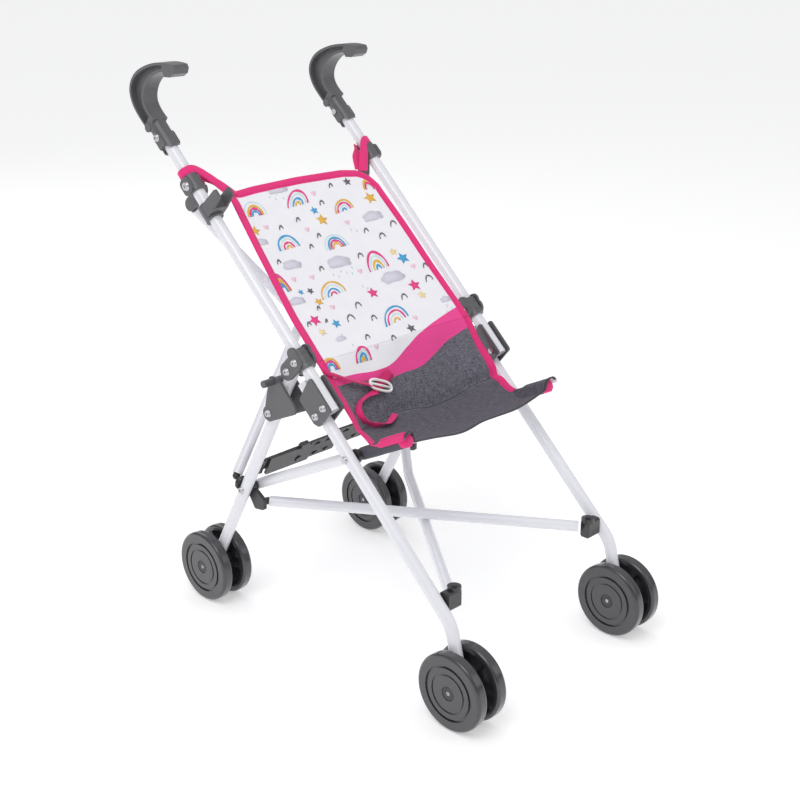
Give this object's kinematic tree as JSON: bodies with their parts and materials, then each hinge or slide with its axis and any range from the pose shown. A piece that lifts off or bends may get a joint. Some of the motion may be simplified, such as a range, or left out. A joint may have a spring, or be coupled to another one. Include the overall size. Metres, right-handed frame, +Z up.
{
  "type": "doll's umbrella buggy",
  "caption": "Folding doll's umbrella buggy with hook grips, crossed braces, paired wheels and a fabric sling seat.",
  "frame": {"origin": "on the floor, under the middle of the bounding box", "axes": "+Z up; the buggy faces -Y; its right-hand side is at -X"},
  "size_m": [0.2822, 0.4773, 0.555],
  "materials": {
    "white_paint": "gloss",
    "zinc": "satin",
    "wheel_plastic": "gloss",
    "grey_plastic": "satin",
    "black_plastic": "satin",
    "print_fabric": "woven print",
    "grey_fabric": "woven",
    "pink_webbing": "woven"
  },
  "bodies": {
    "right_rear": {"right_rear_leg": "white_paint", "right_rear_axle": "zinc", "right_rear_screws": "zinc", "right_rear_bracket": "black_plastic", "right_brace_foot": "black_plastic", "right_lock_mount": "black_plastic"},
    "left_rear": {"left_rear_leg": "white_paint", "left_rear_axle": "zinc", "left_rear_screws": "zinc", "left_rear_bracket": "black_plastic", "left_brace_foot": "black_plastic", "left_lock_mount": "black_plastic"},
    "right_handle": {"right_handle_tube": "white_paint", "right_grip": "grey_plastic", "right_upper_bracket": "grey_plastic", "right_top_bracket": "grey_plastic", "right_handle_screws": "zinc", "right_back_strap": "pink_webbing", "storage_clip": "grey_plastic", "seat_back": "print_fabric"},
    "right_front": {"right_front_leg": "white_paint", "right_lower_bracket": "grey_plastic", "right_front_bracket": "black_plastic", "right_link_spacer": "black_plastic", "right_front_screws": "zinc", "right_front_axle": "zinc"},
    "right_seat_link": {"right_seat_tube": "white_paint", "seat_base": "grey_fabric", "lap_strap": "pink_webbing"},
    "right_side_catch": {"right_catch": "grey_plastic"},
    "right_lock": {"right_lock_arm": "black_plastic"},
    "right_rear_cross": {"right_rear_brace": "white_paint"},
    "right_bottom_cross": {"right_bottom_brace": "white_paint"},
    "right_front_pair": {"right_front_wheels": "wheel_plastic"},
    "right_rear_pair": {"right_rear_wheels": "wheel_plastic"},
    "left_handle": {"left_handle_tube": "white_paint", "left_grip": "grey_plastic", "left_upper_bracket": "grey_plastic", "left_top_bracket": "grey_plastic", "left_handle_screws": "zinc", "left_back_strap": "pink_webbing"},
    "left_front": {"left_front_leg": "white_paint", "left_lower_bracket": "grey_plastic", "left_front_bracket": "black_plastic", "left_link_spacer": "black_plastic", "left_front_screws": "zinc", "left_front_axle": "zinc"},
    "left_seat_link": {"left_seat_tube": "white_paint"},
    "left_side_catch": {"left_catch": "grey_plastic"},
    "left_lock": {"left_lock_arm": "black_plastic"},
    "left_rear_cross": {"left_rear_brace": "white_paint"},
    "left_bottom_cross": {"left_bottom_brace": "white_paint"},
    "left_front_pair": {"left_front_wheels": "wheel_plastic"},
    "left_rear_pair": {"left_rear_wheels": "wheel_plastic"}
  },
  "joints": [
    {"name": "fold", "type": "slide", "parent": "right_rear", "child": "left_rear", "axis": [-1, 0, 0], "range_m": [0, 0.144], "deforming": ["seat_back", "seat_base", "left_back_strap", "right_back_strap", "lap_strap"]},
    {"name": "right_handle_turn", "type": "hinge", "parent": "right_rear", "child": "right_handle", "pos_m": [-0.1186, 0.0149, 0.2862], "axis": [1, 0, 0], "range_deg": [0, 68]},
    {"name": "right_front_turn", "type": "hinge", "parent": "right_handle", "child": "right_front", "pos_m": [-0.1186, -0.0336, 0.2622], "axis": [-1, 0, 0], "range_deg": [0, 178]},
    {"name": "right_seat_turn", "type": "hinge", "parent": "right_rear", "child": "right_seat_link", "pos_m": [-0.1006, 0.0945, 0.1395], "axis": [-1, 0, 0], "range_deg": [0, 23.34]},
    {"name": "right_catch_turn", "type": "hinge", "parent": "right_rear", "child": "right_side_catch", "pos_m": [-0.1186, 0.043, 0.2372], "axis": [-1, 0, 0], "range_deg": [0, 50]},
    {"name": "right_lock_turn", "type": "hinge", "parent": "right_rear", "child": "right_lock", "pos_m": [-0.1074, 0.08239, 0.16184], "axis": [0, -0.8789, -0.477], "range_deg": [0, 70.75]},
    {"name": "right_rear_cross_turn", "type": "hinge", "parent": "right_rear", "child": "right_rear_cross", "pos_m": [-0.1186, 0.1091, 0.149], "axis": [0.5584, -0.527, -0.6406], "range_deg": [0, 41.94]},
    {"name": "right_bottom_cross_turn", "type": "hinge", "parent": "right_rear", "child": "right_bottom_cross", "pos_m": [-0.101, 0.0821, 0.124], "axis": [-0.8596, -0.4161, -0.2965], "range_deg": [0, 63.29]},
    {"name": "right_front_spin", "type": "hinge", "parent": "right_front", "child": "right_front_pair", "pos_m": [-0.1186, -0.2009, 0.0377], "axis": [1, 0, 0], "continuous": true},
    {"name": "right_rear_spin", "type": "hinge", "parent": "right_rear", "child": "right_rear_pair", "pos_m": [-0.1186, 0.1498, 0.0377], "axis": [1, 0, 0], "continuous": true},
    {"name": "left_handle_turn", "type": "hinge", "parent": "left_rear", "child": "left_handle", "pos_m": [0.1186, 0.0149, 0.2862], "axis": [1, 0, 0], "range_deg": [0, 68]},
    {"name": "left_front_turn", "type": "hinge", "parent": "left_handle", "child": "left_front", "pos_m": [0.1186, -0.0336, 0.2622], "axis": [-1, 0, 0], "range_deg": [0, 178]},
    {"name": "left_seat_turn", "type": "hinge", "parent": "left_rear", "child": "left_seat_link", "pos_m": [0.1006, 0.0945, 0.1395], "axis": [-1, 0, 0], "range_deg": [0, 23.34]},
    {"name": "left_catch_turn", "type": "hinge", "parent": "left_rear", "child": "left_side_catch", "pos_m": [0.1186, 0.043, 0.2372], "axis": [-1, 0, 0], "range_deg": [0, 50]},
    {"name": "left_lock_turn", "type": "hinge", "parent": "left_rear", "child": "left_lock", "pos_m": [0.1074, 0.08239, 0.16184], "axis": [0, 0.8789, 0.477], "range_deg": [0, 70.75]},
    {"name": "left_rear_cross_turn", "type": "hinge", "parent": "left_rear", "child": "left_rear_cross", "pos_m": [0.1186, 0.11302, 0.14822], "axis": [0.7241, 0.5906, 0.3562], "range_deg": [0, 40.76]},
    {"name": "left_bottom_cross_turn", "type": "hinge", "parent": "left_rear", "child": "left_bottom_cross", "pos_m": [0.101, 0.0821, 0.124], "axis": [-0.8741, 0.3549, 0.3317], "range_deg": [0, 64.53]},
    {"name": "left_front_spin", "type": "hinge", "parent": "left_front", "child": "left_front_pair", "pos_m": [0.1186, -0.2009, 0.0377], "axis": [1, 0, 0], "continuous": true},
    {"name": "left_rear_spin", "type": "hinge", "parent": "left_rear", "child": "left_rear_pair", "pos_m": [0.1186, 0.1498, 0.0377], "axis": [1, 0, 0], "continuous": true}
  ],
  "couplings": [
    {"joint": "right_handle_turn", "follows": "fold", "rad_per_m": 8.2418},
    {"joint": "right_front_turn", "follows": "fold", "rad_per_m": 21.574},
    {"joint": "right_seat_turn", "follows": "fold", "rad_per_m": 2.8284},
    {"joint": "right_catch_turn", "follows": "fold", "rad_per_m": 6.0602},
    {"joint": "right_lock_turn", "follows": "fold", "rad_per_m": 8.5757},
    {"joint": "right_rear_cross_turn", "follows": "fold", "rad_per_m": 5.0836},
    {"joint": "right_bottom_cross_turn", "follows": "fold", "rad_per_m": 7.6713},
    {"joint": "left_handle_turn", "follows": "fold", "rad_per_m": 8.2418},
    {"joint": "left_front_turn", "follows": "fold", "rad_per_m": 21.574},
    {"joint": "left_seat_turn", "follows": "fold", "rad_per_m": 2.8284},
    {"joint": "left_catch_turn", "follows": "fold", "rad_per_m": 6.0602},
    {"joint": "left_lock_turn", "follows": "fold", "rad_per_m": 8.5757},
    {"joint": "left_rear_cross_turn", "follows": "fold", "rad_per_m": 4.9406},
    {"joint": "left_bottom_cross_turn", "follows": "fold", "rad_per_m": 7.8207}
  ]
}
